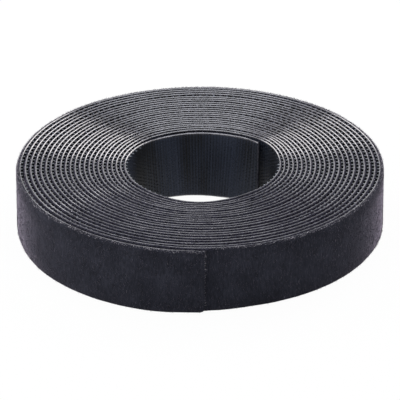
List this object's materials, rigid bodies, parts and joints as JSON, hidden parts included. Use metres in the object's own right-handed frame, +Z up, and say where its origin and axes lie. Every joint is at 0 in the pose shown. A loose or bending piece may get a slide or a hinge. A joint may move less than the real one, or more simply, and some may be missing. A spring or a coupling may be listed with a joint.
{
  "type": "hook and loop tape roll",
  "caption": "Coreless roll of back-to-back hook and loop tape, wound flat on itself hook side in, with an outer tail that peels off and a loose inner end in the bore.",
  "frame": {"origin": "on the roll's axis, in the plane that the lower tape edges lie on", "axes": "+Z up along the roll's axis, across the tape's width; the outer tail ends near -Y and the inner end starts about 39.5 degrees from +X"},
  "size_m": [0.1111, 0.1123, 0.02],
  "materials": {
    "hook_film": "moulded satin film with rows of small hooks",
    "loop_fabric": "napped loop pile, soft sheen"
  },
  "bodies": {
    "roll": {"hook_film_roll": "hook_film", "loop_fabric_roll": "loop_fabric"},
    "tail_1": {"hook_film_tail_1": "hook_film", "loop_fabric_tail_1": "loop_fabric"},
    "tail_2": {"hook_film_tail_2": "hook_film", "loop_fabric_tail_2": "loop_fabric"},
    "tail_3": {"hook_film_tail_3": "hook_film", "loop_fabric_tail_3": "loop_fabric"},
    "tail_4": {"hook_film_tail_4": "hook_film", "loop_fabric_tail_4": "loop_fabric"},
    "inner_end_1": {"hook_film_inner_end_1": "hook_film", "loop_fabric_inner_end_1": "loop_fabric"},
    "inner_end_2": {"hook_film_inner_end_2": "hook_film", "loop_fabric_inner_end_2": "loop_fabric"},
    "inner_end_3": {"hook_film_inner_end_3": "hook_film", "loop_fabric_inner_end_3": "loop_fabric"}
  },
  "joints": [
    {"name": "tail_peel", "type": "hinge", "parent": "roll", "child": "tail_1", "pos_m": [-0.04822, -0.02889, 0.01], "axis": [0, 0, -1], "range_deg": [0, 40]},
    {"name": "tail_bend_2", "type": "hinge", "parent": "tail_1", "child": "tail_2", "pos_m": [-0.03918, -0.04049, 0.01], "axis": [0, 0, -1], "range_deg": [0, 40]},
    {"name": "tail_bend_3", "type": "hinge", "parent": "tail_2", "child": "tail_3", "pos_m": [-0.02742, -0.04938, 0.01], "axis": [0, 0, -1], "range_deg": [0, 40]},
    {"name": "tail_bend_4", "type": "hinge", "parent": "tail_3", "child": "tail_4", "pos_m": [-0.01373, -0.05495, 0.01], "axis": [0, 0, -1], "range_deg": [0, 40]},
    {"name": "inner_end_peel", "type": "hinge", "parent": "roll", "child": "inner_end_1", "pos_m": [-0.0146, 0.01767, 0.01], "axis": [0, 0, -1], "range_deg": [0, 30]},
    {"name": "inner_end_bend_2", "type": "hinge", "parent": "inner_end_1", "child": "inner_end_2", "pos_m": [-0.00371, 0.02208, 0.01], "axis": [0, 0, -1], "range_deg": [0, 30]},
    {"name": "inner_end_bend_3", "type": "hinge", "parent": "inner_end_2", "child": "inner_end_3", "pos_m": [0.00749, 0.02006, 0.01], "axis": [0, 0, -1], "range_deg": [0, 30]}
  ],
  "couplings": [
    {"joint": "tail_bend_2", "follows": "tail_peel", "ratio": 1},
    {"joint": "tail_bend_3", "follows": "tail_peel", "ratio": 1},
    {"joint": "tail_bend_4", "follows": "tail_peel", "ratio": 1},
    {"joint": "inner_end_bend_2", "follows": "inner_end_peel", "ratio": 1},
    {"joint": "inner_end_bend_3", "follows": "inner_end_peel", "ratio": 1}
  ]
}
